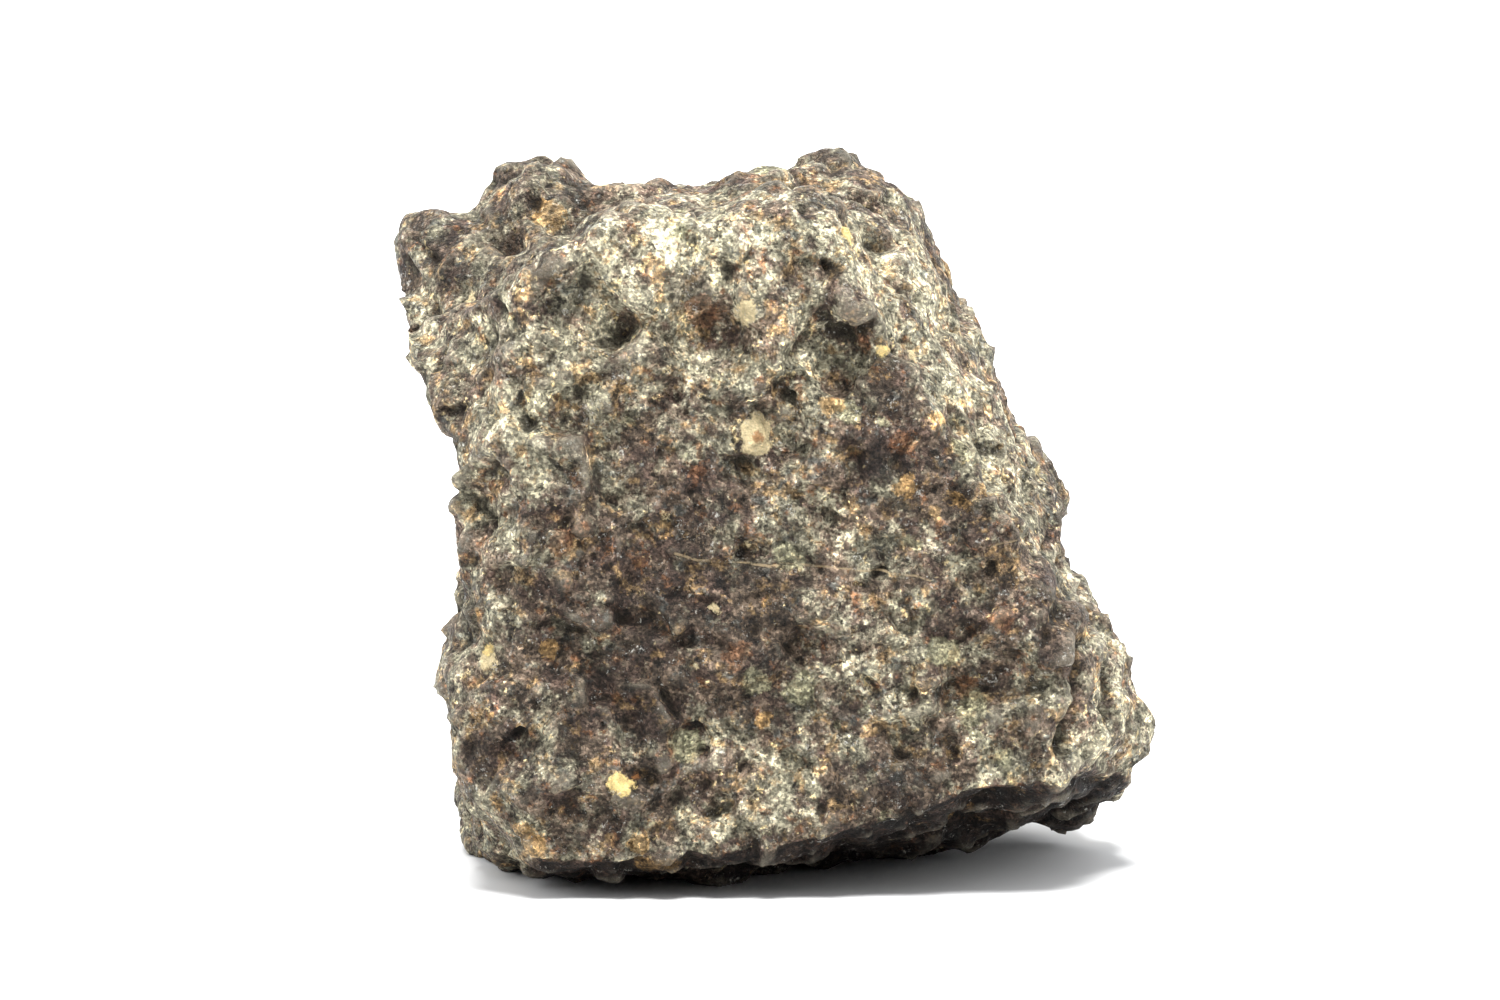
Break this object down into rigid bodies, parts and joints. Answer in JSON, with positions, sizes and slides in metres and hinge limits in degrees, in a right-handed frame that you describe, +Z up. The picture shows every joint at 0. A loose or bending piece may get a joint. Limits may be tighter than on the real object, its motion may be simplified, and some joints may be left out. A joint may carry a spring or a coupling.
{
  "type": "chondrite meteorite",
  "caption": "Weathered broken stone with a broad pitted face, a knobbed top and a flat spot to rest on; a display or study specimen of an ordinary chondrite.",
  "frame": {"origin": "on the flat spot that the stone rests on, under the middle of the stone", "axes": "+Z up, +X to the right along the broad weathered face, which looks towards -Y"},
  "size_m": [0.0271, 0.0206, 0.0256],
  "materials": {
    "weathered_stone": "rough grey-brown weathered stone with pale and rusty grains"
  },
  "bodies": {
    "root": {"stone": "weathered_stone"}
  },
  "joints": []
}
